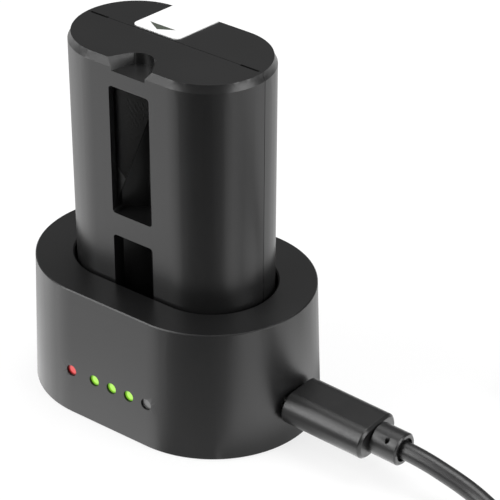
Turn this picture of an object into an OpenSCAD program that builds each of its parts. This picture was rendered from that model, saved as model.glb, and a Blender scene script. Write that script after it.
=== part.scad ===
// A charging cradle with a two-cell pack standing in its well and a lead plugged into its end.
// X runs along the cradle towards the socket, the lights face -Y, and Z = 0 is the surface under
// the feet. All sizes are in millimetres.

/* [Cells] */
// Diameter of one cell
cell_diameter = 18.4; // [16:0.1:20]
// Length of one cell
cell_length = 65; // [50:0.5:75]
// Distance between the middles of the two cells
cell_pitch = 18.7; // [18.6:0.1:21]
// Free room round a cell
cell_play = 0.1; // [0.05:0.05:0.3]

/* [Pack case] */
// From a cell to the outside of the case, at its broad sides
case_side_room = 3.05; // [2.4:0.05:4]
// From a cell to the outside of the case, at its round ends
case_end_room = 2.45; // [2:0.05:4]
// Wall of the case
case_wall = 1.2; // [0.8:0.1:1.6]
// Thickness of the case under the cells
case_floor = 1.2; // [0.8:0.1:2]
// Room between the case's floor and the cells
case_foot_room = 0.5; // [0.3:0.1:1.5]
// Room between the cells and the case's top
case_head_room = 0.8; // [0.6:0.1:2]
// Thickness of the case's top
case_top = 1.5; // [1:0.1:3]
// How much narrower each side of the case is at its foot
case_draft = 0.5; // [0:0.1:0.8]
// How far the bevel round the top reaches inwards
bevel_in = 0.8; // [0.2:0.1:1.2]
// How far the bevel round the top reaches down
bevel_down = 1.5; // [0.4:0.1:2.5]
// Where the two halves of the case meet, across the pack
seam_place = 0.45; // [-1:0.05:1.5]
// Width of the line between the two halves
seam_gap = 0.12; // [0.04:0.02:0.3]

/* [Case features] */
// Width of the two pockets in the front of the case
pocket_width = 9.4; // [6:0.1:11]
// Corner radius of the pockets
pocket_corner = 0.7; // [0.2:0.1:1.5]
// How deep the pockets go where the cells allow it
pocket_depth = 6.2; // [4:0.1:7]
// From the top of the pack down to the upper pocket
pocket_drop = 5.3; // [4.6:0.1:9]
// Height of the upper pocket
pocket_height = 26.5; // [15:0.5:30]
// Height of the bridge between the two pockets
bridge_height = 4.7; // [2.5:0.1:8]
// Width of the lock notch at the front of the case
notch_width = 11.2; // [7:0.1:13]
// Width of the lock notch where its back rounds off
notch_back_width = 5.2; // [3.5:0.1:7]
// How far the lock notch reaches in from the front
notch_reach = 5.7; // [4:0.1:7]
// Depth of the lock notch
notch_depth = 2.2; // [1:0.1:3]
// Length of the two slits for opening the case
slit_length = 4.2; // [2:0.1:6]
// Distance from the middle of the pack to the middle of a slit
slit_place = 17.6; // [14:0.1:18]
// Width of the slits
slit_width = 0.5; // [0.3:0.1:0.8]
// Depth of the slits
slit_depth = 0.7; // [0.3:0.1:1.2]
// Thickness of the label film
film_thickness = 0.15; // [0.1:0.05:0.3]
// Width of the label film
film_width = 10.9; // [6:0.1:14]
// Left edge of the label film at its front
film_left = -10.2; // [-12:0.1:-8]
// From the seam to the front edge of the label film
film_set_back = 0.5; // [0.3:0.1:3]
// How far the film leans sideways towards the rear edge
film_lean = 1.2; // [0:0.1:2]
// Length of the film down the rear of the pack
film_drop = 14; // [5:0.5:30]
// Corner radius of the film's front corners
film_corner = 1.2; // [0.4:0.1:2]

/* [Cradle] */
// From the mouth of the well to the cradle's outer edge, all round
rim_width = 7.2; // [7.1:0.1:12]
// Height of the moulding, without its feet
cradle_height = 27; // [20:0.5:36]
// How much further out each side stands at the bottom
cradle_draft = 0.5; // [0:0.1:1]
// Thickness of the outer wall and the top
cradle_wall = 1.8; // [1.4:0.1:2.2]
// Bevel along the outer top edge
edge_bevel = 0.4; // [0.2:0.1:0.8]
// Gap between the foot of the pack and the sides of the well
well_gap = 0.3; // [0.15:0.05:0.6]
// Extra gap at the round ends of the well
well_end_gap = 0.45; // [0:0.05:0.8]
// How much wider each side of the well is at its mouth
well_flare = 0.45; // [0.2:0.05:0.8]
// Bevel round the mouth of the well
mouth_bevel = 0.3; // [0.1:0.1:0.6]
// Wall of the well
well_wall = 0.9; // [0.7:0.1:1.1]
// Thickness of the well's floor
well_floor = 1.2; // [0.8:0.1:1.6]
// Height of the well's floor above the bottom of the moulding
well_floor_height = 5; // [4.4:0.1:6]

/* [Bottom cover] */
// Thickness of the bottom cover
cover_thickness = 1.6; // [1.5:0.1:2]
// Gap round the bottom cover
cover_gap = 0.1; // [0.05:0.05:0.2]
// Diameter of a cover screw's thread
screw_diameter = 1.9; // [1.6:0.1:2.2]
// Length of a cover screw's thread
screw_length = 6; // [4:0.5:9]
// Diameter of a cover screw's head
screw_head = 3.6; // [3:0.1:4]
// Height of a cover screw's head
screw_head_height = 0.7; // [0.5:0.1:0.8]
// Diameter of the screw bosses
boss_diameter = 4.4; // [3.6:0.1:4.8]
// Turn of the screws away from the long axis
screw_angle = 32; // [28:1:36]
// Diameter of a rubber foot
foot_diameter = 7; // [5:0.5:8]
// How far the feet stand out below the moulding
foot_proud = 0.3; // [0.2:0.1:1]
// How deep the feet are set into the cover
foot_inset = 0.6; // [0.3:0.1:0.8]
// Turn of the feet away from the long axis
foot_angle = 64; // [60:1:70]

/* [Electronics] */
// Thickness of the circuit board
board_thickness = 1; // [0.8:0.1:1.2]
// Gap round the circuit board
board_gap = 0.3; // [0.2:0.1:0.5]
// Diameter of a light pipe
light_diameter = 2.2; // [1.6:0.1:2.6]
// Height of the lights above the bottom of the moulding
light_height = 9.25; // [8.8:0.05:12]
// Distance between the green lights
light_pitch = 4.25; // [3.8:0.05:5]
// Place of the first green light along the cradle
first_green_place = -3.6; // [-4:0.05:-3]
// Distance from the red light to the first green light
red_distance = 5.7; // [4.5:0.05:6.2]
// How deep the lights' ends lie below the surface
light_recess = 0.2; // [0.1:0.05:0.5]
// Width of the socket's opening
socket_width = 8.35; // [8:0.05:8.6]
// Height of the socket's opening
socket_opening = 2.5; // [2.3:0.05:2.8]
// Sheet metal of the socket and the plugs
sheet = 0.3; // [0.2:0.05:0.4]
// Height of the socket's middle above the bottom of the moulding
socket_height = 8.2; // [8:0.1:10]
// How far the socket lies back from the cradle's end
socket_recess = 0.65; // [0.6:0.05:0.9]

/* [Lead] */
// Width of the plug's grip
grip_width = 11.35; // [10.6:0.05:12.5]
// Height of the plug's grip
grip_height = 6.35; // [5.6:0.05:7]
// Length of the plug's grip
grip_length = 18.5; // [16:0.5:19]
// Rounding of the grip's ends
grip_edge = 0.5; // [0.2:0.1:1]
// Diameter of the strain relief
relief_diameter = 6.3; // [5.6:0.1:6.3]
// Length of the strain relief
relief_length = 6.1; // [5:0.1:6.5]
// Diameter of the cable
cable_diameter = 3.6; // [3:0.1:4]
// How far the plug sags, in degrees
plug_droop = 2.2; // [0:0.1:3]
// Width of the far plug's grip
far_grip_width = 15.5; // [14:0.1:17]
// Height of the far plug's grip
far_grip_height = 8; // [7.5:0.1:9]
// Length of the far plug's grip
far_grip_length = 17; // [14:0.5:20]

/* [Hidden] */
$fn = 96;

// A small overshoot, so that a cut passes right through a face
cut = 1;
// Height and depth that reach past the whole model
far = 200;

// Pack: its case is a stadium in plan, the half length of its straight part is pack_e
cell_x = cell_pitch / 2;
cell_r = cell_diameter / 2;
pack_r = cell_r + case_side_room;
pack_half = cell_x + cell_r + case_end_room;
pack_e = pack_half - pack_r;
pack_foot_r = pack_r - case_draft;
pack_h = case_floor + case_foot_room + cell_length + case_head_room + case_top;
pack_z = foot_proud + well_floor_height;
pack_top = pack_z + pack_h;
cell_z = pack_z + case_floor + case_foot_room;
bore_r = cell_r + cell_play;
pocket_wall_r = bore_r + case_wall;
pocket_top = pack_h - pocket_drop;
pocket_foot = pocket_top - pocket_height;
lower_pocket_top = pocket_foot - bridge_height;

// Well and cradle
well_e = pack_e + well_end_gap;
well_depth = cradle_height - well_floor_height;
well_foot_r = pack_foot_r + well_gap;
well_mouth_r = well_foot_r + well_flare;
cradle_r = well_mouth_r + rim_width;
cradle_foot_r = cradle_r + cradle_draft;
cover_r = cradle_foot_r - cradle_wall - cover_gap;
function cradle_r_at(h) = cradle_foot_r - cradle_draft * h / cradle_height;
function well_r_at(h) = well_foot_r + well_flare * (h - well_floor_height) / well_depth;
under_floor = well_floor_height - well_floor;

// Screws and feet stand on arcs round the middles of the cradle's round ends
screw_ring = cover_r - boss_diameter / 2 + 0.25;
foot_ring = cover_r - foot_diameter / 2 - 1;
function on_ring(ring, angle, sx, sy) = [sx * (well_e + ring * cos(angle)), sy * ring * sin(angle)];
screw_bore_r = screw_diameter / 2 + 0.05;
head_seat = 0.8;
boss_top = 14;

// Socket, plug and board heights
socket_outer_h = socket_opening + 2 * sheet;
socket_outer_w = socket_width + 2 * sheet;
board_top = socket_height - socket_outer_h / 2;
board_foot = board_top - board_thickness;
socket_back = well_e + well_r_at(socket_height) + well_wall + 0.1;
socket_front = well_e + cradle_r_at(socket_height) - socket_recess;
tongue_thickness = 0.7;
tongue_width = socket_width - 1.65;
plug_shell_h = socket_opening - 0.1;
plug_shell_w = socket_width - 0.1;
plug_face = well_e + cradle_r_at(socket_height) + 0.22;
plug_tip = socket_back + 1;
plug_pocket = 3;
relief_recess = 0.8;

// Lights
light_r = light_diameter / 2;
light_gap = 0.05;
light_flange = 0.4;
lamp_board_back = well_r_at(light_height) + well_wall + 1.3;
lamp_board_thickness = 0.8;
chip_depth = 0.7;
chip_front = lamp_board_back + lamp_board_thickness + chip_depth;
light_front = cradle_r_at(light_height) - light_recess;
wall_inside = cradle_r_at(light_height) - cradle_wall;
light_places = [first_green_place - red_distance, first_green_place,
                first_green_place + light_pitch, first_green_place + 2 * light_pitch,
                first_green_place + 3 * light_pitch];

// Contacts between the pack and the cradle
contact_pitch = 6;
contact_y = -3;
blade_width = 1.6;
blade_thickness = 0.4;
blade_slot = 0.15;
contact_pad = [3, 5, 0.4];

// Cable: its middle line in millimetres, from the strain relief to the coil and on to the far plug
cable_r = cable_diameter / 2;
cable_route = [[53.3, 0, 7.55], [55, 0, 7.45], [57, 0, 7.3], [60, 0, 6.9], [63, 0, 6.3],
               [66.5, 0, 5.5], [70, -0.2, 4.6], [74, -0.9, 3.6], [78, -2, 2.8],
               [82, -3.5, 2.35], [86.5, -5.2, 2.2], [91.5, -6.8, 2.2], [96.7, -7.5, 2.2]];
end_route = [[96.8, 39.6, 5.5], [95, 39.6, 4.9], [93, 39.6, 4.35], [91, 39.6, 4.05], [89.6, 39.6, 4]];
coil_middle = [110, 16];
coil_outer_r = 23.6;
coil_inner_r = 13.7;
tie_thickness = 0.4;
tie_turn = 18;
coil_height = 2 * cable_diameter;
far_plug_start = [89.5, 39.6, 4];
far_relief = [3.5, 5.6];
far_shell = [12, 12, 4.5];

// Shapes that several pieces share

// A stadium in plan whose side walls lean evenly, from radius r1 at the bottom to r2 at the top
module leaning_stadium(e, r1, r2, h) {
    for (side = [-1, 1]) translate([side * e, 0, 0]) cylinder(h = h, r1 = r1, r2 = r2);
    rotate([90, 0, 90]) translate([0, 0, -e]) linear_extrude(2 * e)
        polygon([[-r1, 0], [r1, 0], [r2, h], [-r2, h]]);
}

// A stadium in plan whose side follows a line of [reach, height] points from the bottom up
module profiled_stadium(e, line) {
    last = len(line) - 1;
    for (side = [-1, 1]) translate([side * e, 0, 0])
        rotate_extrude() polygon(concat([[0, line[0][1]]], line, [[0, line[last][1]]]));
    rotate([90, 0, 90]) translate([0, 0, -e]) linear_extrude(2 * e)
        polygon(concat(line, [for (i = [last : -1 : 0]) [-line[i][0], line[i][1]]]));
}

module flat_stadium(e, r) {
    for (side = [-1, 1]) translate([side * e, 0]) circle(r);
    square([2 * e, 2 * r], center = true);
}

module round_rectangle(w, h, r) {
    square([w - 2 * r, h], center = true);
    square([w, h - 2 * r], center = true);
    for (x = [-1, 1], y = [-1, 1]) translate([x * (w / 2 - r), y * (h / 2 - r)]) circle(r);
}

module at_four(ring, angle) {
    for (sx = [-1, 1], sy = [-1, 1]) translate(on_ring(ring, angle, sx, sy)) children();
}

// Z of the children runs along X, from the given point
module along_x(place) {
    translate(place) rotate([90, 0, 90]) children();
}

// Z of the children runs towards the front, from the given point
module to_front(place) {
    translate(place) rotate([90, 0, 0]) children();
}

// Cradle

module cradle_form() {
    edge = cradle_height - edge_bevel;
    profiled_stadium(well_e, [[cradle_foot_r, 0], [cradle_r_at(edge), edge],
                              [cradle_r - edge_bevel, cradle_height]]);
}

module well_form(grow, from, to) {
    translate([0, 0, from])
        leaning_stadium(well_e, well_r_at(from) + grow, well_r_at(to) + grow, to - from);
}

module cradle_hollow() {
    roof = cradle_height - cradle_wall;
    difference() {
        translate([0, 0, -cut])
            leaning_stadium(well_e, cradle_r_at(-cut) - cradle_wall,
                            cradle_r_at(roof) - cradle_wall, roof + cut);
        well_form(well_wall, under_floor, roof + cut);
        at_four(screw_ring, screw_angle) translate([0, 0, cover_thickness])
            cylinder(h = boss_top - cover_thickness, d = boss_diameter);
    }
}

module charger_housing() {
    color("#2b2b2c") translate([0, 0, foot_proud]) difference() {
        cradle_form();
        cradle_hollow();
        well_form(0, well_floor_height, cradle_height + cut);
        translate([0, 0, cradle_height - mouth_bevel])
            leaning_stadium(well_e, well_mouth_r, well_mouth_r + 2 * mouth_bevel, 2 * mouth_bevel);
        at_four(screw_ring, screw_angle) cylinder(h = cover_thickness + screw_length, r = screw_bore_r);
        for (x = light_places) to_front([x, 0, light_height]) cylinder(h = far, r = light_r + light_gap);
        along_x([socket_back + 2, 0, socket_height]) linear_extrude(far)
            flat_stadium((socket_outer_w - socket_outer_h) / 2, socket_outer_h / 2 + 0.08);
        for (i = [-1, 0, 1]) translate([i * contact_pitch, contact_y, well_floor_height])
            cube([blade_width + 2 * blade_slot, blade_thickness + 2 * blade_slot, 3 * well_floor],
                 center = true);
    }
}

module bottom_cover() {
    post_ring = cover_r - 3.2;
    color("#262627") translate([0, 0, foot_proud]) difference() {
        union() {
            linear_extrude(cover_thickness) flat_stadium(well_e, cover_r);
            for (sx = [-1, 1], sy = [-1, 1]) translate([sx * well_e, sy * post_ring, 0])
                cylinder(h = board_foot, d = 3);
        }
        at_four(screw_ring, screw_angle) {
            translate([0, 0, -cut]) cylinder(h = cover_thickness + 2 * cut, r = screw_bore_r + 0.1);
            translate([0, 0, -cut]) cylinder(h = head_seat + cut, d = screw_head + 0.3);
        }
        at_four(foot_ring, foot_angle) translate([0, 0, -cut])
            cylinder(h = foot_inset + cut, d = foot_diameter + 0.1);
    }
}

module rubber_feet() {
    edge = foot_proud / 2;
    color("#1d1d1e") at_four(foot_ring, foot_angle) {
        cylinder(h = edge, d1 = foot_diameter - 2 * edge, d2 = foot_diameter);
        translate([0, 0, edge]) cylinder(h = foot_proud - edge + foot_inset, d = foot_diameter);
    }
}

module cover_screws() {
    head_top = foot_proud + head_seat;
    color("silver") at_four(screw_ring, screw_angle) difference() {
        union() {
            translate([0, 0, head_top - screw_head_height]) cylinder(h = screw_head_height, d = screw_head);
            translate([0, 0, head_top]) cylinder(h = screw_length - 0.3, d = screw_diameter);
        }
        for (a = [0, 90]) rotate(a) translate([0, 0, head_top - screw_head_height])
            cube([screw_head * 0.55, 0.5, 0.8], center = true);
    }
}

// Electronics of the cradle

module circuit_board() {
    outline = cradle_r_at(board_top) - cradle_wall - board_gap;
    color("#1f6b3a") translate([0, 0, foot_proud + board_foot]) difference() {
        linear_extrude(board_thickness) difference() {
            flat_stadium(well_e, outline);
            flat_stadium(well_e, well_r_at(board_top) + well_wall + board_gap);
            at_four(screw_ring, screw_angle) circle(d = boss_diameter + 0.4);
        }
        for (i = [-1, 0, 1]) translate([i * contact_pitch, -blade_tail_y, 0])
            cube([blade_width + 0.3, blade_thickness + 0.3, 3 * board_thickness], center = true);
    }
}

// Middle of the blades' tails, where they pass through the board
blade_tail_y = well_r_at(board_top) + well_wall + board_gap + 0.6;
// Middle of the ring that the board fills round the well
board_ring = (cradle_r_at(board_top) - cradle_wall + well_r_at(board_top) + well_wall) / 2;
board_face = foot_proud + board_top;

module charge_controller() {
    color("#202020") translate([-6, board_ring, board_face]) {
        translate([0, 0, 0.6]) cube([5, 3.2, 1.2], center = true);
        for (x = [-1.9 : 0.76 : 1.9]) translate([x, 0, 0.1]) cube([0.3, 3.8, 0.2], center = true);
    }
}

module power_inductor() {
    color("#4a4a4a") translate([3.5, board_ring, board_face]) difference() {
        translate([-2, -1.7, 0]) cube([4, 3.4, 2.4]);
        translate([0, 0, 2.2]) cylinder(h = cut, r = 1.2);
    }
}

module board_capacitors() {
    color("#b8a078") for (x = [-12, 8.5, 11.5, 14.5]) translate([x - 0.6, board_ring - 0.4, board_face])
        cube([1.2, 0.8, 0.8]);
}

module lamp_board() {
    x0 = light_places[0] - 2.4;
    x1 = light_places[4] + 2.4;
    color("#1f6b3a") translate([x0, -lamp_board_back - lamp_board_thickness, board_face])
        cube([x1 - x0, lamp_board_thickness, light_height - board_top + 2]);
}

module light_chips() {
    color("#f0ead0") for (x = light_places)
        translate([x - 0.8, -chip_front, foot_proud + light_height - 0.4]) cube([1.6, chip_depth, 0.8]);
}

module light_pipe(i, shade) {
    color(shade) to_front([light_places[i], 0, foot_proud + light_height]) {
        translate([0, 0, chip_front]) cylinder(h = light_front - chip_front, r = light_r);
        translate([0, 0, chip_front + 0.3]) cylinder(h = wall_inside - chip_front - 0.5, r = light_r + light_flange);
    }
}

module usb_socket() {
    flat = (socket_outer_w - socket_outer_h) / 2;
    color("silver") along_x([socket_back, 0, foot_proud + socket_height]) difference() {
        linear_extrude(socket_front - socket_back) flat_stadium(flat, socket_outer_h / 2);
        translate([0, 0, 0.4]) linear_extrude(far) flat_stadium(flat, socket_opening / 2);
    }
}

module socket_tongue() {
    color("#202020") along_x([socket_back + 0.4, 0, foot_proud + socket_height])
        linear_extrude(socket_front - socket_back - 1.4)
            round_rectangle(tongue_width, tongue_thickness, 0.2);
}

module contact_carrier() {
    color("#303030") translate([0, 0, foot_proud]) difference() {
        translate([-contact_pitch - 3, contact_y - 3, cover_thickness])
            cube([2 * contact_pitch + 6, 6, under_floor - cover_thickness]);
        for (i = [-1, 0, 1]) translate([i * contact_pitch, contact_y, 0]) {
            cube([blade_width + 2 * blade_slot, blade_thickness + 2 * blade_slot, far], center = true);
            translate([-blade_width / 2 - blade_slot, -far, blade_rail - blade_slot])
                cube([blade_width + 2 * blade_slot, far, blade_thickness + 2 * blade_slot]);
        }
    }
}

// Height at which a blade runs under the well's floor
blade_rail = cover_thickness + 0.6;

module contact_blade(i) {
    y0 = contact_y - blade_thickness / 2;
    y1 = -blade_tail_y - blade_thickness / 2;
    color("#c9a24a") translate([i * contact_pitch - blade_width / 2, 0, foot_proud]) {
        translate([0, y0, blade_rail]) cube([blade_width, blade_thickness, well_floor_height - blade_rail]);
        translate([0, y1, blade_rail]) cube([blade_width, y0 - y1 + blade_thickness, blade_thickness]);
        translate([0, y1, blade_rail]) cube([blade_width, blade_thickness, board_top + 0.5 - blade_rail]);
    }
}

// Pack

module pack_form(grow) {
    translate([0, 0, pack_z]) profiled_stadium(pack_e, [
        [pack_foot_r + grow, 0], [pack_r + grow, pack_h - bevel_down],
        [pack_r - bevel_in + grow, pack_h + grow]]);
}

module case_hollow() {
    inside = pack_h - case_floor - case_top;
    difference() {
        translate([0, 0, pack_z + case_floor])
            leaning_stadium(pack_e, pack_foot_r - case_wall, pack_r - case_wall, inside);
        pocket_surround();
    }
    for (side = [-1, 1]) translate([side * cell_x, 0, pack_z + case_floor])
        cylinder(h = inside, r = bore_r);
}

// The part of the case that stays solid round the pockets and under the notch
module pocket_surround() {
    w = pocket_width + 2 * case_wall;
    y0 = pack_r - pocket_depth - case_wall;
    translate([-w / 2, -far, pack_z]) cube([w, far - y0, lower_pocket_top + case_wall]);
    translate([-w / 2, -far, pack_z + pocket_foot - case_wall])
        cube([w, far - y0, pocket_height + 2 * case_wall]);
    translate([-notch_width / 2 - case_wall, -far, pack_top - notch_depth - case_wall])
        cube([notch_width + 2 * case_wall, far - pack_r + notch_reach + case_wall, far]);
}

module pocket_cut(foot, height) {
    difference() {
        to_front([0, -(pack_r - pocket_depth), pack_z + foot + height / 2]) linear_extrude(far)
            round_rectangle(pocket_width, height, pocket_corner);
        for (side = [-1, 1]) translate([side * cell_x, 0, pack_z - 2 * cut])
            cylinder(h = pack_h + 4 * cut, r = pocket_wall_r);
    }
}

module notch_cut() {
    back = -(pack_r - notch_reach);
    round_r = notch_back_width / 2 + 0.4;
    translate([0, 0, pack_top - notch_depth]) linear_extrude(notch_depth + cut) {
        polygon([[-notch_width / 2 - 0.6, -pack_r - cut], [notch_width / 2 + 0.6, -pack_r - cut],
                 [notch_back_width / 2, back - 0.9], [-notch_back_width / 2, back - 0.9]]);
        translate([0, back - round_r]) circle(round_r);
    }
}

module slit_cuts() {
    for (side = [-1, 1]) translate([side * slit_place, seam_place, pack_top])
        cube([slit_length, slit_width, 2 * slit_depth], center = true);
}

module contact_places() {
    for (i = [-1, 0, 1]) translate([i * contact_pitch, contact_y, pack_z + contact_pad[2] / 2]) children();
}

module pack_front_case() {
    lower = lower_pocket_top + 2;
    color("#2a2a2b") difference() {
        pack_form(0);
        translate([-far / 2, seam_place - seam_gap / 2, -cut]) cube([far, far, far]);
        case_hollow();
        pocket_cut(pocket_foot, pocket_height);
        pocket_cut(-2, lower);
        notch_cut();
        slit_cuts();
        contact_places() cube([contact_pad[0] + 0.1, contact_pad[1] + 0.1, contact_pad[2] + 0.1], center = true);
    }
}

module pack_rear_case() {
    color("#272728") difference() {
        pack_form(0);
        translate([-far / 2, seam_place + seam_gap / 2 - far, -cut]) cube([far, far, far]);
        case_hollow();
        slit_cuts();
    }
}

// A cell with its raised end up (1) or down (-1)
module cell(side, way) {
    button = [6, 0.6];
    color("#3c6ea8") translate([side * cell_x, 0, cell_z]) {
        translate([0, 0, way > 0 ? 0 : button[1]]) cylinder(h = cell_length - button[1], r = cell_r);
        translate([0, 0, way > 0 ? cell_length - 2 * button[1] : 0]) cylinder(h = 2 * button[1], d = button[0]);
    }
}

module left_cell() {
    cell(-1, 1);
}

module right_cell() {
    cell(1, -1);
}

module cell_insulators() {
    color("#e8e4d8") for (side = [-1, 1])
        translate([side * cell_x, 0, side < 0 ? cell_z + cell_length - 0.6 : cell_z + 0.1]) difference() {
            cylinder(h = 0.5, r = cell_r - 0.8);
            translate([0, 0, -cut]) cylinder(h = 3 * cut, r = 3.4);
        }
}

module top_strip() {
    color("#c8c8c4") translate([-cell_x - 4, -3.5, cell_z + cell_length]) cube([2 * cell_x + 8, 7, 0.3]);
}

module bottom_strips() {
    color("#c8c8c4") for (side = [-1, 1])
        translate([side * cell_x - 4, 0.2, cell_z - 0.3]) cube([8, 5, 0.3]);
}

board_y = sqrt(pow(bore_r, 2) - pow(cell_x - 4.5, 2)) + 0.3;

module protection_board() {
    color("#1f6b3a") translate([-4.5, board_y, cell_z + 6]) cube([9, 0.8, cell_length - 20]);
}

module protection_chips() {
    color("#202020") for (z = [12, 20, 28]) translate([-2, board_y + 0.8, cell_z + z]) cube([4, 0.8, 4.6]);
}

module pack_contacts() {
    color("#c9a24a") contact_places() cube(contact_pad, center = true);
}

module pack_label() {
    front = seam_place + film_set_back;
    color("#e4e4e2") intersection() {
        difference() {
            pack_form(film_thickness);
            pack_form(0);
        }
        translate([0, 0, pack_top - film_drop]) linear_extrude(far) film_outline(front);
    }
}

// Plan of the film: round corners in front, leaning a little towards one side at the rear
module film_outline(front) {
    left = film_left;
    right = film_left + film_width;
    lean = film_lean / (pack_r - front);
    back = 2 * pack_r;
    polygon([[left + film_corner, front], [right - film_corner, front], [right, front + film_corner],
             [right + lean * (back - front), back], [left + lean * (back - front), back],
             [left, front + film_corner]]);
    for (x = [left + film_corner, right - film_corner]) translate([x, front + film_corner]) circle(film_corner);
}

// Lead

module plug_frame(along) {
    translate([plug_face, 0, foot_proud + socket_height]) rotate([0, plug_droop, 0])
        rotate([90, 0, 90]) translate([0, 0, along]) children();
}

module plug_shell() {
    flat = (plug_shell_w - plug_shell_h) / 2;
    length = plug_face - plug_tip + plug_pocket;
    color("silver") along_x([plug_tip, 0, foot_proud + socket_height]) difference() {
        linear_extrude(length) flat_stadium(flat, plug_shell_h / 2);
        translate([0, 0, -cut]) linear_extrude(length - 0.6 + cut) flat_stadium(flat, plug_shell_h / 2 - sheet);
    }
}

module plug_grip() {
    e = (grip_width - grip_height) / 2;
    r = grip_height / 2;
    flat = (plug_shell_w - plug_shell_h) / 2;
    color("#2c2c2d") difference() {
        union() {
            plug_frame(0) leaning_stadium(e, r - grip_edge / 2, r, grip_edge / 2);
            plug_frame(grip_edge / 2) linear_extrude(grip_length - 1.5 * grip_edge) flat_stadium(e, r);
            plug_frame(grip_length - grip_edge) leaning_stadium(e, r, r - grip_edge, grip_edge);
        }
        along_x([plug_face - cut, 0, foot_proud + socket_height]) linear_extrude(plug_pocket + cut + 0.05)
            flat_stadium(flat, plug_shell_h / 2 + 0.02);
    }
}

module strain_relief() {
    neck = 0.5;
    edge = 0.3;
    color("#2c2c2d") plug_frame(grip_length) difference() {
        union() {
            cylinder(h = neck, r = relief_diameter / 2 - 0.6);
            translate([0, 0, neck]) cylinder(h = relief_length - neck - edge, d = relief_diameter);
            translate([0, 0, relief_length - edge])
                cylinder(h = edge, r1 = relief_diameter / 2, r2 = relief_diameter / 2 - edge);
        }
        translate([0, 0, relief_length - relief_recess]) cylinder(h = 2 * cut, r = cable_r + 0.5);
        translate([-2.2, 0, relief_length / 2 + 0.6]) rotate([-90, 0, 0]) cylinder(h = far, r = 0.45);
    }
}

// Tube swept along a route, with upright rings of eight points
function unit(v) = v / norm(v);
function heading(p, i) = unit(p[min(i + 1, len(p) - 1)] - p[max(i - 1, 0)]);
function sideways(t) = unit(cross([0, 0, 1], t));
function ring_point(p, i, r, a) =
    let (t = heading(p, i), s = sideways(t)) p[i] + r * cos(a) * s + r * sin(a) * cross(t, s);

module tube(route, r) {
    n = 8;
    last = len(route) - 1;
    points = [for (i = [0 : last], k = [0 : n - 1]) ring_point(route, i, r, 360 * k / n)];
    sides = [for (i = [0 : last - 1], k = [0 : n - 1])
        [i * n + k, i * n + (k + 1) % n, (i + 1) * n + (k + 1) % n, (i + 1) * n + k]];
    ends = [[for (k = [n - 1 : -1 : 0]) k], [for (k = [0 : n - 1]) last * n + k]];
    polyhedron([for (p = points) p], [for (f = concat(sides, ends)) [for (k = [len(f) - 1 : -1 : 0]) f[k]]]);
}

module coil_section(grow) {
    w = coil_outer_r - coil_inner_r + cable_diameter + 2 * grow;
    translate([(coil_outer_r + coil_inner_r) / 2, tie_thickness + coil_height / 2])
        round_rectangle(w, coil_height + 2 * grow, cable_r + grow);
}

module cable() {
    color("#2e2e2f") tube(cable_route, cable_r);
}

module cable_coil() {
    color("#2e2e2f") translate(coil_middle) rotate_extrude() coil_section(0);
}

module cable_end() {
    color("#2e2e2f") tube(end_route, cable_r);
}

module cable_tie() {
    color("#1c1c1c") translate(coil_middle) rotate(-tie_turn / 2) rotate_extrude(angle = tie_turn) difference() {
        coil_section(tie_thickness);
        coil_section(0.02);
    }
}

// The far plug points towards -X, away from the end of the cable
module far_plug_frame(along) {
    translate(far_plug_start) rotate([90, 0, -90]) translate([0, 0, along]) children();
}

module far_plug_grip() {
    length = far_grip_length;
    color("#2c2c2d") difference() {
        union() {
            far_plug_frame(0) cylinder(h = far_relief[0] + 1, d = far_relief[1]);
            intersection() {
                far_plug_frame(far_relief[0]) linear_extrude(length)
                    round_rectangle(far_grip_width, far_grip_height, 2.4);
                translate([far_plug_start[0] - far_relief[0] - length / 2, far_plug_start[1], 0])
                    linear_extrude(far) round_rectangle(length, far_grip_width, 2.6);
            }
        }
        far_plug_frame(far_relief[0] + length - 3) linear_extrude(far)
            square([far_shell[1] + 0.04, far_shell[2] + 0.04], center = true);
    }
}

module far_plug_shell() {
    color("silver") far_plug_frame(far_relief[0] + far_grip_length - 3) difference() {
        linear_extrude(far_shell[0] + 3) square([far_shell[1], far_shell[2]], center = true);
        translate([0, 0, 0.5]) linear_extrude(far)
            square([far_shell[1] - 2 * sheet, far_shell[2] - 2 * sheet], center = true);
        for (x = [-2.9, 2.9]) translate([x, 0, 3 + far_shell[0] - 5.6]) cube([2.2, far, 2.2], center = true);
    }
}

module far_plug_tongue() {
    color("#202020") far_plug_frame(far_relief[0] + far_grip_length - 2.5)
        translate([0, -far_shell[2] / 2 + sheet + 1, (far_shell[0] + 2) / 2])
            cube([far_shell[1] - 2 * sheet - 0.1, 1.9, far_shell[0] + 2], center = true);
}

module far_plug_contacts() {
    color("#c9a24a") far_plug_frame(far_relief[0] + far_grip_length + 2.5)
        for (x = [-3.5, -1, 1, 3.5]) translate([x - 0.5, -far_shell[2] / 2 + sheet + 1.95, 0])
            cube([1, 0.2, 7.5]);
}

charger_housing();
bottom_cover();
rubber_feet();
cover_screws();
circuit_board();
charge_controller();
power_inductor();
board_capacitors();
lamp_board();
light_chips();
light_pipe(0, "#c03028");  // red_light_pipe
light_pipe(1, "#8bd040");  // green_light_pipe_left
light_pipe(2, "#8bd040");  // green_light_pipe_middle
light_pipe(3, "#8bd040");  // green_light_pipe_right
light_pipe(4, "#6a6a6c");  // unlit_light_pipe
usb_socket();
socket_tongue();
contact_carrier();
contact_blade(-1);  // contact_blade_left
contact_blade(0);  // contact_blade_middle
contact_blade(1);  // contact_blade_right
pack_front_case();
pack_rear_case();
left_cell();
right_cell();
cell_insulators();
top_strip();
bottom_strips();
protection_board();
protection_chips();
pack_contacts();
pack_label();
plug_shell();
plug_grip();
strain_relief();
cable();
cable_coil();
cable_end();
cable_tie();
far_plug_grip();
far_plug_shell();
far_plug_tongue();
far_plug_contacts();
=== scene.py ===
"""A charging cradle with a two-cell pack standing in its well and a short lead in its end.

X runs along the cradle towards the socket, the lights face -Y, and Z = 0 is the table.
"""
import math

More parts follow.
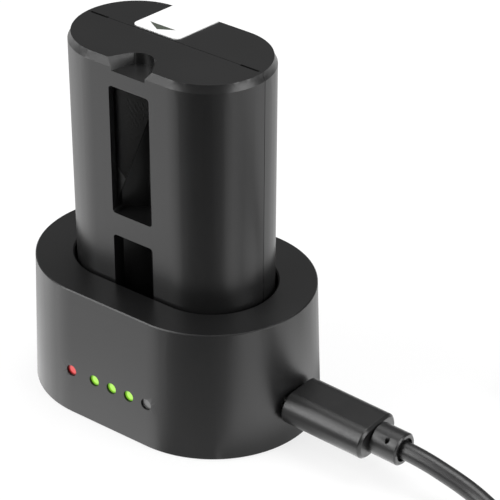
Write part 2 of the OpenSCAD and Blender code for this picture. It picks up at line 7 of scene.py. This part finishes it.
import bpy
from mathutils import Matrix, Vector


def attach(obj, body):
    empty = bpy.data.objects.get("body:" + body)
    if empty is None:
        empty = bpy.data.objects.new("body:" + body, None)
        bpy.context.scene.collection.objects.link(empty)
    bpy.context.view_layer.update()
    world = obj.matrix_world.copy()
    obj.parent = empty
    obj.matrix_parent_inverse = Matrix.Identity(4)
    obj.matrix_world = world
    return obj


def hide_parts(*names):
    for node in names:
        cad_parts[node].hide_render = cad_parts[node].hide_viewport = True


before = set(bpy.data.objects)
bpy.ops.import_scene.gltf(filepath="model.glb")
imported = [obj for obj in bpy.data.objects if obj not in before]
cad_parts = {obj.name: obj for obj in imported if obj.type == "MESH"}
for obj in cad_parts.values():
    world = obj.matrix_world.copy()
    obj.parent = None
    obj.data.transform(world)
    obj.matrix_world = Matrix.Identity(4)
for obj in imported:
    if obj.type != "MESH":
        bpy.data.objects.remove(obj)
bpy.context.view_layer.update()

MM = 0.001

# Camera
CAMERA_PLACE = (0.26830, -0.31940, 0.28222)
CAMERA_LOOK = (-0.52783, 0.67364, -0.51730)
CAMERA_LENS = 184.77
CAMERA_SENSOR = 36.0

# Small changes to the cradle's shape, in millimetres
CRADLE_TOP = 27.3
CRADLE_HEIGHT = 27
CRADLE_EDGE_FOOT = 26.5
CRADLE_STRAIGHT = 9.2
CRADLE_WALL_FROM = 19.1
CRADLE_FULLER = (0.02, 0.32)
CRADLE_BEVEL_OUT = 0.22
WELL_MOUTH = (11.0, 13.3)
WELL_MOUTH_FROM = 26.9
WELL_DRAWN_IN = 0.22

# Small changes to the pack's shape, in millimetres
PACK_TOP = 74.3
PACK_HEIGHT = 69
PACK_STRAIGHT = 8.75
PACK_WALL_FROM = 11.2
PACK_FULLER = (0.05, 0.12)
PACK_BEVEL_OUT = 0.25
SEAM_PLACE = 0.45
SEAM_HALF = 0.008
SEAM_REACH = 0.08
NOTCH_FLOOR = 71.9
NOTCH_FRONT = -11.0
NOTCH_MOUTH = (4.0, 7.0)
NOTCH_CORNER_ON_TOP = (5.1, -11.7)
NOTCH_CORNER_BELOW = (3.9, -12.3)
ON_TOP = 0.1
END_WIDER = 0.05

# Small changes to the plug's shape: its face and middle in millimetres, and its slope
PLUG_FACE = 29.47
PLUG_FRONT_TO = 30.5
PLUG_HEIGHT = 8.5
PLUG_DROOP = math.radians(2.2)
PLUG_THICKER = 1.03
PLUG_GAP = 0.35

# Rounding of edges
MERGE_DISTANCE = 0.002 * MM
FLAT_ANGLE = math.radians(0.2)
SHARP_ANGLE = math.radians(28)
SMOOTH_ANGLE = math.radians(35)

# Lead: its middle line in millimetres, as in the part's source
CABLE_DIAMETER = 3.6
CABLE_ROUTE = [
    (53.3, 0, 7.55), (55, 0, 7.45), (57, 0, 7.3), (60, 0, 6.9), (63, 0, 6.3),
    (66.5, 0, 5.5), (70, -0.2, 4.6), (74, -0.9, 3.6), (78, -2, 2.8),
    (82, -3.5, 2.35), (86.5, -5.2, 2.2), (91.5, -6.8, 2.2), (96.7, -7.5, 2.2),
]
END_ROUTE = [(96.8, 39.6, 5.5), (95, 39.6, 4.9), (93, 39.6, 4.35), (91, 39.6, 4.05), (89.6, 39.6, 4)]
COIL_MIDDLE = (110, 16)
COIL_OUTER = 23.6
COIL_INNER = 13.7
COIL_TURNS = 5.5
COIL_FOOT = 2.2
COIL_TANGENT = 6.5
POINTS_PER_TURN = 40


# Helpers for objects

def make_active(piece):
    if bpy.context.object and bpy.context.object.mode != "OBJECT":
        bpy.ops.object.mode_set(mode="OBJECT")
    bpy.ops.object.select_all(action="DESELECT")
    piece.select_set(True)
    bpy.context.view_layer.objects.active = piece


def apply_modifier(piece, kind, **settings):
    make_active(piece)
    modifier = piece.modifiers.new(kind.lower(), kind)
    for key, value in settings.items():
        setattr(modifier, key, value)
    bpy.ops.object.modifier_apply(modifier=modifier.name)


def dress(piece, material):
    piece.data.materials.clear()
    piece.data.materials.append(material)
    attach(piece, "root")


def reach_of(point, straight):
    """The nearest point between the middles of the round ends, and the way out from there."""
    middle = Vector((min(max(point.x, -straight), straight), 0.0, point.z))
    return middle, point - middle


def pushed_out(point, middle, out, grow, straight):
    """The point moved out by grow from the middle, and a round end moved out a little on its own."""
    wider = Vector((math.copysign(END_WIDER, point.x) if abs(point.x) > straight else 0.0, 0.0, 0.0))
    return middle + out * ((out.length + grow) / out.length) + wider


def cradle_shape(point):
    """The outer wall fuller at its foot, a narrower bevel round its top and a tighter well mouth."""
    middle, out = reach_of(point, CRADLE_STRAIGHT)
    if WELL_MOUTH[0] < out.length < WELL_MOUTH[1] and point.z > WELL_MOUTH_FROM:
        return middle + out * ((out.length - WELL_DRAWN_IN) / out.length)
    if out.length < CRADLE_WALL_FROM:
        return point
    grow = CRADLE_FULLER[0] + CRADLE_FULLER[1] * (CRADLE_TOP - point.z) / CRADLE_HEIGHT
    if point.z > CRADLE_TOP - ON_TOP:
        grow = CRADLE_BEVEL_OUT
    elif point.z > CRADLE_EDGE_FOOT:
        middle.z = CRADLE_TOP - 0.2
    return pushed_out(point, middle, out, grow, CRADLE_STRAIGHT)


def pack_shape(point):
    """The case a little fuller at its foot, a narrower bevel and a closer joint on top, and a narrower
    mouth to the notch."""
    middle, out = reach_of(point, PACK_STRAIGHT)
    if out.length < PACK_WALL_FROM:
        return point
    on_top = point.z > PACK_TOP - ON_TOP
    if on_top and abs(point.y - SEAM_PLACE) < SEAM_REACH:
        point.y = SEAM_PLACE + math.copysign(SEAM_HALF, point.y - SEAM_PLACE)
        middle, out = reach_of(point, PACK_STRAIGHT)
    at_mouth = NOTCH_MOUTH[0] < abs(point.x) < NOTCH_MOUTH[1]
    if point.z > NOTCH_FLOOR and point.y < NOTCH_FRONT and at_mouth:
        corner = NOTCH_CORNER_ON_TOP if on_top else NOTCH_CORNER_BELOW
        return Vector((math.copysign(corner[0], point.x), corner[1], point.z))
    grow = PACK_FULLER[0] + PACK_FULLER[1] * (PACK_TOP - point.z) / PACK_HEIGHT
    if on_top:
        grow = PACK_BEVEL_OUT
    return pushed_out(point, middle, out, grow, PACK_STRAIGHT)


def plug_shape(point):
    """The grip and its relief a little thicker, with a wider gap in front of the cradle."""
    middle = Vector((point.x, 0.0, PLUG_HEIGHT - (point.x - PLUG_FACE) * math.tan(PLUG_DROOP)))
    thicker = middle + (point - middle) * PLUG_THICKER
    if point.x < PLUG_FRONT_TO:
        thicker.x += PLUG_GAP
    return thicker


def moulding(node, name, material, edge=0.12, segments=2, joint=None, shape=None):
    """A copy of a CAD node with its sharp edges rounded, which stands in its place. The edges on the
    top face along the joint, given by its place along Y, stay sharp."""
    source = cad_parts[node]
    piece = source.copy()
    piece.data = source.data.copy()
    piece.name = name
    piece.data.name = name
    bpy.context.scene.collection.objects.link(piece)
    make_active(piece)
    bpy.ops.object.mode_set(mode="EDIT")
    bpy.ops.mesh.select_all(action="SELECT")
    bpy.ops.mesh.remove_doubles(threshold=MERGE_DISTANCE)
    bpy.ops.mesh.dissolve_limited(angle_limit=FLAT_ANGLE)
    bpy.ops.mesh.select_all(action="DESELECT")
    bpy.ops.mesh.select_mode(type="EDGE")
    bpy.ops.mesh.edges_select_sharp(sharpness=SHARP_ANGLE)
    bpy.ops.object.mode_set(mode="OBJECT")
    mesh = piece.data
    if shape:
        for vertex in mesh.vertices:
            vertex.co = shape(vertex.co / MM) * MM
    weights = mesh.attributes.new("bevel_weight_edge", "FLOAT", "EDGE")
    for line, weight in zip(mesh.edges, weights.data):
        ends = [mesh.vertices[k].co for k in line.vertices]
        in_joint = joint is not None and all(
            abs(end.y - joint * MM) < 0.02 * MM and end.z > (PACK_TOP - 0.01) * MM for end in ends)
        weight.value = 1.0 if line.select and not in_joint else 0.0
    apply_modifier(piece, "BEVEL", width=edge * MM, segments=segments, limit_method="WEIGHT",
                   miter_outer="MITER_ARC", use_clamp_overlap=True)
    bpy.ops.object.shade_smooth_by_angle(angle=SMOOTH_ANGLE)
    apply_modifier(piece, "WEIGHTED_NORMAL", keep_sharp=True, weight=80)
    dress(piece, material)
    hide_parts(node)
    return piece


# Shader maths and nodes

class Wire:
    """A node's output, on which sums and products add Math nodes."""

    def __init__(self, finish, socket):
        self.finish = finish
        self.socket = socket

    def __add__(self, other):
        return self.finish.math("ADD", self, other)

    def __sub__(self, other):
        return self.finish.math("SUBTRACT", self, other)

    def __mul__(self, other):
        return self.finish.math("MULTIPLY", self, other)

    def __truediv__(self, other):
        return self.finish.math("DIVIDE", self, other)

    def __lt__(self, other):
        return self.finish.math("LESS_THAN", self, other)

    __radd__ = __add__
    __rmul__ = __mul__


class Finish:
    """A node tree under construction, with its Principled shader."""

    def __init__(self, name):
        self.material = bpy.data.materials.new(name)
        self.material.use_nodes = True
        self.tree = self.material.node_tree
        self.tree.nodes.clear()
        self.output = self.tree.nodes.new("ShaderNodeOutputMaterial")

    def node(self, kind, settings=None, inputs=None):
        made = self.tree.nodes.new(kind)
        for key, value in (settings or {}).items():
            setattr(made, key, value)
        for key, value in (inputs or {}).items():
            self.feed(made.inputs[key], value)
        return made

    def feed(self, socket, value):
        if isinstance(value, Wire):
            self.tree.links.new(value.socket, socket)
        else:
            socket.default_value = value

    def wire(self, made, output=0):
        return Wire(self, made.outputs[output])

    def math(self, operation, a, b):
        return self.wire(self.node("ShaderNodeMath", {"operation": operation}, {0: a, 1: b}))

    def mix(self, factor, a, b):
        made = self.node("ShaderNodeMix", {"data_type": "RGBA"})
        for socket, value in zip([made.inputs[0], made.inputs[6], made.inputs[7]], [factor, a, b]):
            self.feed(socket, value)
        return self.wire(made, 2)

    def step(self, value, low, high, to_low=0.0, to_high=1.0):
        """A smooth rise from to_low at low to to_high at high."""
        return self.wire(self.node(
            "ShaderNodeMapRange", {"interpolation_type": "SMOOTHSTEP"},
            {"Value": value, "From Min": low, "From Max": high, "To Min": to_low, "To Max": to_high}))

    def place(self):
        return self.wire(self.node("ShaderNodeTexCoord"), "Object")

    def axes(self):
        split = self.node("ShaderNodeSeparateXYZ", inputs={0: self.place()})
        return [self.wire(split, k) for k in range(3)]

    def noise(self, scale, detail=2.0, roughness=0.5):
        return self.wire(self.node(
            "ShaderNodeTexNoise", {},
            {"Vector": self.place(), "Scale": scale, "Detail": detail, "Roughness": roughness}))

    def specks(self, scale, size, share):
        """Small round dots, one in some of the cells of the given scale."""
        cells = self.node("ShaderNodeTexVoronoi", {"feature": "F1"},
                          {"Vector": self.place(), "Scale": scale})
        chosen = self.wire(self.node("ShaderNodeSeparateColor", {}, {0: self.wire(cells, "Color")}))
        return (self.wire(cells, "Distance") < size) * (chosen < share)

    def bump(self, height, distance, strength=1.0, below=None):
        inputs = {"Height": height, "Distance": distance, "Strength": strength}
        if below:
            inputs["Normal"] = below
        return self.wire(self.node("ShaderNodeBump", {}, inputs))

    def surface(self, **inputs):
        values = {name.replace("_", " "): value for name, value in inputs.items()}
        shader = self.node("ShaderNodeBsdfPrincipled", {}, values)
        self.tree.links.new(shader.outputs[0], self.output.inputs[0])
        return self.material


def grey(level):
    return (level, level, level, 1.0)


def plastic_grey(level):
    """Grey with the slight blue tint of black plastic."""
    return (level, level, level * 1.02, 1.0)


def satin_plastic(name, level, roughness, dust=0.0):
    """Black moulding with a fine sparked grain, faint flow marks and a few specks of dust."""
    finish = Finish(name)
    fine = finish.noise(5200.0, 3.0, 0.6)
    flow = finish.noise(38.0, 2.0)
    patches = finish.step(flow, 0.35, 0.65)
    shade = finish.mix(patches, plastic_grey(level * 0.92), plastic_grey(level * 1.08))
    if dust:
        motes = finish.specks(210.0, 0.016, dust)
        shade = finish.mix(motes, shade, grey(0.3))
    return finish.surface(
        Base_Color=shade,
        Roughness=finish.step(flow * 0.5 + fine * 0.5, 0.3, 0.7, roughness - 0.03, roughness + 0.03),
        Normal=finish.bump(fine, 0.004 * MM))


def soft_vinyl(name, level, roughness):
    """Moulded or drawn vinyl with a faint long-wave unevenness."""
    finish = Finish(name)
    fine = finish.noise(2600.0, 3.0, 0.55)
    long_wave = finish.noise(160.0, 1.0)
    patches = finish.step(long_wave, 0.3, 0.7)
    shade = finish.mix(patches, plastic_grey(level * 0.9), plastic_grey(level * 1.1))
    normal = finish.bump(long_wave, 0.06 * MM, 0.25)
    return finish.surface(
        Base_Color=shade,
        Roughness=finish.step(fine, 0.3, 0.7, roughness - 0.04, roughness + 0.04),
        Normal=finish.bump(fine, 0.004 * MM, 0.6, normal))


def lit_light(name, core, rim):
    """The end of a lit light pipe: bright in the middle and deeper in colour at its edge. The bright
    spot lies a little to the upper right of the pipe's middle."""
    finish = Finish(name)
    x, _, z = finish.axes()
    nearest = None
    for place in LIGHT_PLACES:
        dx = (x - place) * (1 / MM) - GLOW_SHIFT[0]
        dz = (z - LIGHT_HEIGHT) * (1 / MM) - GLOW_SHIFT[1]
        away = dx * dx + dz * dz
        nearest = away if nearest is None else finish.math("MINIMUM", nearest, away)
    edge = finish.step(nearest, 0.4, 1.05)
    colour = finish.mix(edge, core, rim)
    return finish.surface(Base_Color=tuple(c * 0.1 for c in rim[:3]) + (1.0,), Roughness=0.25,
                          Emission_Color=colour, Emission_Strength=1.0)


def unlit_light(name):
    """The cloudy grey end of a light pipe that is off."""
    finish = Finish(name)
    cloud = finish.noise(900.0, 2.0)
    shade = finish.mix(cloud, grey(0.06), grey(0.10))
    return finish.surface(Base_Color=shade, Roughness=0.3, Coat_Weight=0.3, Coat_Roughness=0.15)


def label_film(name, arrow):
    """Pale film with a plain black arrow head, given by its tip, its half width and its depth."""
    finish = Finish(name)
    x, y, _ = finish.axes()
    tip_x, tip_y, half, depth = arrow
    along = (y - tip_y) * (1 / depth)
    across = finish.math("ABSOLUTE", x - tip_x, 0.0) * (1 / half)
    mark = (across < along) * (along < 1.0)
    mottle = finish.noise(700.0, 2.0)
    paper = finish.mix(mottle, grey(0.66), grey(0.71))
    ink = (0.05, 0.058, 0.045, 1.0)
    return finish.surface(Base_Color=finish.mix(mark, paper, ink), Roughness=0.42,
                          Normal=finish.bump(mottle, 0.01 * MM, 0.3))


def plated(name, colour, roughness):
    """Nickel or gold plate over sheet metal, with fine rolling lines."""
    finish = Finish(name)
    stretch = finish.node("ShaderNodeMapping", {},
                          {"Vector": finish.place(), "Scale": (300.0, 4200.0, 4200.0)})
    lines = finish.wire(finish.node(
        "ShaderNodeTexNoise", {}, {"Vector": finish.wire(stretch), "Scale": 1.0}))
    shade = finish.mix(lines, tuple(c * 0.85 for c in colour) + (1.0,), tuple(colour) + (1.0,))
    return finish.surface(Base_Color=shade, Metallic=1.0,
                          Roughness=finish.step(lines, 0.3, 0.7, roughness - 0.05, roughness + 0.07),
                          Normal=finish.bump(lines, 0.003 * MM, 0.5))


def speckled(name, low, high, scale, roughness):
    """A plain technical finish that varies between two colours."""
    finish = Finish(name)
    cloud = finish.noise(scale, 3.0)
    return finish.surface(Base_Color=finish.mix(cloud, low + (1.0,), high + (1.0,)),
                          Roughness=finish.step(cloud, 0.3, 0.7, roughness - 0.05, roughness + 0.05),
                          Normal=finish.bump(cloud, 0.01 * MM, 0.4))


def circuit_green(name):
    """Solder mask with fine copper lanes under it."""
    finish = Finish(name)
    lanes = finish.wire(finish.node(
        "ShaderNodeTexWave", {"wave_type": "BANDS", "bands_direction": "DIAGONAL"},
        {"Vector": finish.place(), "Scale": 320.0, "Distortion": 3.0}))
    lane = finish.step(lanes, 0.55, 0.6)
    shade = finish.mix(lane, (0.012, 0.11, 0.04, 1.0), (0.03, 0.2, 0.08, 1.0))
    return finish.surface(Base_Color=shade, Roughness=0.28,
                          Normal=finish.bump(lane, 0.02 * MM, 0.4))


def woven_strap(name):
    """Black webbing with crossed threads."""
    finish = Finish(name)
    rows, columns = [
        finish.wire(finish.node("ShaderNodeTexWave", {"bands_direction": axis},
                                {"Vector": finish.place(), "Scale": 420.0})) for axis in ("Z", "Y")]
    weave = rows * columns
    return finish.surface(Base_Color=finish.mix(weave, grey(0.012), grey(0.035)), Roughness=0.85,
                          Normal=finish.bump(weave, 0.08 * MM, 0.6))


# Materials

LIGHT_HEIGHT = 9.55 * MM
LIGHT_PLACES = [x * MM for x in (-9.3, -3.6, 0.65, 4.9, 9.15)]
GLOW_SHIFT = (0.14, 0.08)
ARROW = (-5.15 * MM, 2.0 * MM, 3.1 * MM, 1.8 * MM)

cradle_black = satin_plastic("cradle_black", 0.0068, 0.36, dust=0.05)
cover_black = satin_plastic("cover_black", 0.012, 0.5)
pack_black = satin_plastic("pack_black", 0.0062, 0.34, dust=0.03)
plug_vinyl = soft_vinyl("plug_vinyl", 0.009, 0.34)
cable_vinyl = soft_vinyl("cable_vinyl", 0.01, 0.36)
foot_rubber = soft_vinyl("foot_rubber", 0.02, 0.8)
red_glow = lit_light("red_glow", (0.78, 0.05, 0.05, 1.0), (0.22, 0.01, 0.01, 1.0))
green_glow = lit_light("green_glow", (0.42, 0.84, 0.07, 1.0), (0.16, 0.42, 0.02, 1.0))
unlit = unlit_light("unlit")
film = label_film("film", ARROW)
nickel = plated("nickel_plate", (0.62, 0.61, 0.59), 0.28)
gold = plated("gold_plate", (0.85, 0.62, 0.26), 0.25)
zinc = plated("zinc_plate", (0.55, 0.55, 0.56), 0.35)
mask_green = circuit_green("mask_green")
chip_black = speckled("chip_black", (0.012, 0.012, 0.013), (0.02, 0.02, 0.021), 1500.0, 0.5)
ferrite = speckled("ferrite", (0.05, 0.05, 0.052), (0.09, 0.09, 0.09), 2200.0, 0.6)
tan_ceramic = speckled("tan_ceramic", (0.38, 0.27, 0.15), (0.48, 0.36, 0.2), 1500.0, 0.45)
milky_resin = speckled("milky_resin", (0.75, 0.72, 0.55), (0.85, 0.83, 0.7), 1200.0, 0.35)
blue_sleeve = speckled("blue_sleeve", (0.02, 0.08, 0.22), (0.03, 0.11, 0.28), 90.0, 0.3)
fibre_paper = speckled("fibre_paper", (0.68, 0.64, 0.52), (0.8, 0.77, 0.66), 1800.0, 0.85)
strap = woven_strap("strap")


# Camera

def add_camera():
    bpy.ops.object.camera_add(location=CAMERA_PLACE)
    camera = bpy.context.object
    camera.name = "photo_camera"
    camera.rotation_euler = Vector(CAMERA_LOOK).to_track_quat("-Z", "Y").to_euler()
    camera.data.sensor_width = CAMERA_SENSOR
    camera.data.lens = CAMERA_LENS
    camera.data.clip_start = 0.01
    bpy.context.scene.camera = camera


# Lead

def spiral_point(turn):
    """A point of the coil, which winds inwards on the table and outwards again on top of itself."""
    half = COIL_TURNS / 2
    gap = math.sqrt((turn - half) ** 2 + 0.03 ** 2) - 0.03
    radius = COIL_INNER + (COIL_OUTER - COIL_INNER) * gap / half
    climb = min(max((turn - half) / 0.36 + 0.5, 0.0), 1.0)
    lift = climb * climb * (3 - 2 * climb) * CABLE_DIAMETER
    angle = math.radians(-90 + 360 * turn)
    return (COIL_MIDDLE[0] + radius * math.cos(angle), COIL_MIDDLE[1] + radius * math.sin(angle),
            COIL_FOOT + lift)


def smooth_line(points, parts):
    """Catmull-Rom curve through the points, with so many parts to each stretch."""
    points = [Vector(p) for p in points]
    padded = [2 * points[0] - points[1]] + points + [2 * points[-1] - points[-2]]
    line = []
    for a, b, c, d in zip(padded, padded[1:], padded[2:], padded[3:]):
        for k in range(parts):
            t = k / parts
            line.append(0.5 * (2 * b + (c - a) * t + (2 * a - 5 * b + 4 * c - d) * t * t
                               + (3 * b - a - 3 * c + d) * t ** 3))
    return line + [points[-1]]


def add_lead():
    steps = int(COIL_TURNS * POINTS_PER_TURN)
    turns = [spiral_point(COIL_TURNS * k / steps) for k in range(steps + 1)]
    beside = COIL_MIDDLE[0] - COIL_TANGENT
    entry = [(beside, COIL_MIDDLE[1] - COIL_OUTER, COIL_FOOT)]
    leave = [(beside, COIL_MIDDLE[1] + COIL_OUTER, COIL_FOOT + CABLE_DIAMETER)]
    near = smooth_line(CABLE_ROUTE + entry + turns[:1], 4)
    away = smooth_line(turns[-1:] + leave + END_ROUTE, 4)
    line = near + [Vector(p) for p in turns[1:-1]] + away
    data = bpy.data.curves.new("usb_lead", "CURVE")
    data.dimensions = "3D"
    data.bevel_depth = CABLE_DIAMETER / 2 * MM
    data.bevel_resolution = 4
    data.use_fill_caps = True
    spline = data.splines.new("POLY")
    spline.points.add(len(line) - 1)
    for point, place in zip(spline.points, line):
        point.co = (*(place * MM), 1.0)
    spline.use_smooth = True
    lead = bpy.data.objects.new("usb_lead", data)
    bpy.context.scene.collection.objects.link(lead)
    dress(lead, cable_vinyl)
    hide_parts("cable", "cable_coil", "cable_end")


# Pieces that stand in place of CAD nodes

moulding("charger_housing", "housing_body", cradle_black, 0.12, shape=cradle_shape)
moulding("bottom_cover", "cover_plate", cover_black, 0.15)
moulding("pack_front_case", "pack_front", pack_black, 0.14,
         joint=SEAM_PLACE - SEAM_HALF, shape=pack_shape)
moulding("pack_rear_case", "pack_rear", pack_black, 0.14,
         joint=SEAM_PLACE + SEAM_HALF, shape=pack_shape)
near_grip = moulding("plug_grip", "plug_grip_body", plug_vinyl, 0.12, 3,
                     shape=plug_shape)
near_relief = moulding("strain_relief", "plug_relief", plug_vinyl, 0.15, 3,
                       shape=plug_shape)
far_grip = moulding("far_plug_grip", "far_grip_body", plug_vinyl, 0.3, 3)
cable_strap = moulding("cable_tie", "cable_strap", strap, 0.08)

PLAIN_FINISHES = {
    "rubber_feet": foot_rubber,
    "cover_screws": zinc,
    "circuit_board": mask_green,
    "lamp_board": mask_green,
    "protection_board": mask_green,
    "charge_controller": chip_black,
    "power_inductor": ferrite,
    "board_capacitors": tan_ceramic,
    "light_chips": milky_resin,
    "red_light_pipe": red_glow,
    "green_light_pipe_left": green_glow,
    "green_light_pipe_middle": green_glow,
    "green_light_pipe_right": green_glow,
    "unlit_light_pipe": unlit,
    "usb_socket": nickel,
    "socket_tongue": chip_black,
    "contact_carrier": cover_black,
    "contact_blade_left": gold,
    "contact_blade_middle": gold,
    "contact_blade_right": gold,
    "left_cell": blue_sleeve,
    "right_cell": blue_sleeve,
    "cell_insulators": fibre_paper,
    "top_strip": nickel,
    "bottom_strips": nickel,
    "protection_chips": chip_black,
    "pack_contacts": gold,
    "pack_label": film,
    "plug_shell": nickel,
    "far_plug_shell": nickel,
    "far_plug_tongue": chip_black,
    "far_plug_contacts": gold,
}


def finish_plain_nodes():
    for name, material in PLAIN_FINISHES.items():
        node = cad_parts[name]
        for slot in node.material_slots:
            slot.material = material
        if not node.material_slots:
            node.data.materials.append(material)


add_camera()
add_lead()
finish_plain_nodes()


# Floor and light. The dark gap in the painted reflection on the floor starts at these distances towards
# the camera, to the right of its line

GAP_MIDDLE = 7.1 * MM
GAP_LEFT_START = 17.2 * MM
GAP_RIGHT_START = 26.8 * MM
GAP_CRADLE_STRAIGHT = 9.25 * MM


def floor_material():
    """White to the camera with a faint shadow. What the walls mirror is painted light: a painted
    reflection that is bright on both sides, with a dark gap in front, as on a table lit from two sides.
    It is brighter close to the cradle, with painted shade near the cradle's right foot where the plug's
    shadow falls."""
    finish = Finish("white_table")
    x, y, _ = finish.axes()

    def larger(a, b):
        return finish.math("MAXIMUM", a, b)

    def size_of(value):
        return finish.math("ABSOLUTE", value, 0.0)

    # Distance towards the camera, distance to its right, and the direction from the cradle's middle
    towards = Vector((-CAMERA_LOOK[0], -CAMERA_LOOK[1])).normalized()
    along = x * towards[0] + y * towards[1]
    across = x * (-1.0 * towards[1]) + y * towards[0]
    turn = along / larger(size_of(across), 0.001)

    # Slopes of the dark gap's two sides, and the distance from the cradle's straight middle
    left_slope = (across - GAP_MIDDLE) / larger(along - GAP_LEFT_START, 0.0005)
    right_slope = (across - GAP_MIDDLE) / larger(along - GAP_RIGHT_START, 0.002)
    beside = larger(size_of(x) - GAP_CRADLE_STRAIGHT, 0.0)
    out = finish.math("SQRT", beside * beside + y * y, 0.0)

    # Painted shade near the cradle's right foot, where the plug's shadow falls, and a painted brighter
    # pool close to the cradle; both are seen only in mirrored rays
    foot = finish.step(out, 0.023, 0.034, 1.0, 0.0) * finish.step(right_slope, 0.5, 1.0)
    painted_light_near_cradle = 1.0 + finish.step(out, 0.0204, 0.05, 0.24, 0.0) * finish.step(turn, -0.3, 0.3) - foot * 0.85
    # Painted reflection of lamps on both sides, with a dark gap towards the camera
    left_part = (finish.step(left_slope, -2.1, -1.1, 1.0, 0.0)
                 * finish.step(turn, -0.2, 0.3, 1.42, 1.18)
                 * finish.step(turn, -1.2, -0.2, 0.4, 1.0)
                 * finish.step(turn, -3.0, -0.9, 0.1, 1.0))
    right_part = (finish.step(right_slope, 0.35, 0.9, 0.0, 1.0)
                  * finish.step(turn, -0.2, 0.4, 0.66, 1.45))
    middle = finish.step(along, 0.03, 0.13, 0.5, 0.1)

    paths = finish.node("ShaderNodeLightPath")
    seen = finish.wire(paths, "Is Camera Ray")
    mirrored = finish.wire(paths, "Is Glossy Ray")
    plain = finish.wire(finish.node("ShaderNodeBsdfDiffuse", {}, {"Color": grey(0.85)}))
    white = finish.wire(finish.node("ShaderNodeEmission", {}, {"Color": grey(1.0)}))
    # Mirrored rays see this painted reflection instead of the plain floor
    painted_reflection = finish.wire(finish.node(
        "ShaderNodeEmission", {}, {"Color": (left_part + right_part + middle) * painted_light_near_cradle}))
    base = finish.wire(finish.node("ShaderNodeMixShader", {}, {0: 0.8 * seen, 1: plain, 2: white}))
    mixed = finish.node("ShaderNodeMixShader", {}, {0: mirrored, 1: base, 2: painted_reflection})
    finish.tree.links.new(mixed.outputs[0], finish.output.inputs[0])
    return finish.material


def add_floor():
    bpy.ops.mesh.primitive_plane_add(size=6.0)
    floor = bpy.context.object
    floor.name = "table_top"
    floor.data.materials.append(floor_material())


def add_lamp(name, place, target, size, power):
    bpy.ops.object.light_add(type="AREA", location=place)
    lamp = bpy.context.object
    lamp.name = name
    lamp.rotation_euler = (Vector(target) - Vector(place)).to_track_quat("-Z", "Y").to_euler()
    lamp.data.shape = "RECTANGLE"
    lamp.data.size, lamp.data.size_y = size
    lamp.data.energy = power


def add_world():
    """White to the camera, dim in mirrored rays, and in between for the light that it casts."""
    world = bpy.data.worlds.new("studio")
    bpy.context.scene.world = world
    world.use_nodes = True
    nodes = world.node_tree.nodes
    links = world.node_tree.links
    nodes.clear()
    out = nodes.new("ShaderNodeOutputWorld")
    paths = nodes.new("ShaderNodeLightPath")
    ambient, mirrored, white = [nodes.new("ShaderNodeBackground") for _ in range(3)]
    for background, strength in ((ambient, 0.35), (mirrored, 0.21), (white, 1.0)):
        background.inputs[0].default_value = grey(1.0)
        background.inputs[1].default_value = strength
    below = ambient
    for ray, background in (("Is Glossy Ray", mirrored), ("Is Camera Ray", white)):
        mix = nodes.new("ShaderNodeMixShader")
        links.new(paths.outputs[ray], mix.inputs[0])
        links.new(below.outputs[0], mix.inputs[1])
        links.new(background.outputs[0], mix.inputs[2])
        below = mix
    links.new(below.outputs[0], out.inputs[0])


add_floor()
add_world()
add_lamp("left_softbox", (-0.55, -0.75, 0.5), (0, 0, 0.04), (0.7, 0.6), 8.0)
add_lamp("front_softbox", (-0.5, -0.62, 1.15), (0, 0, 0.04), (0.6, 0.5), 4.0)
add_lamp("right_softbox", (1.0, 0.11, 0.45), (0, 0, 0.04), (0.6, 0.6), 7.0)
add_lamp("top_softbox", (0.0, 0.25, 1.05), (0, 0, 0), (0.7, 0.7), 8.0)

bpy.context.scene.view_settings.view_transform = "Standard"
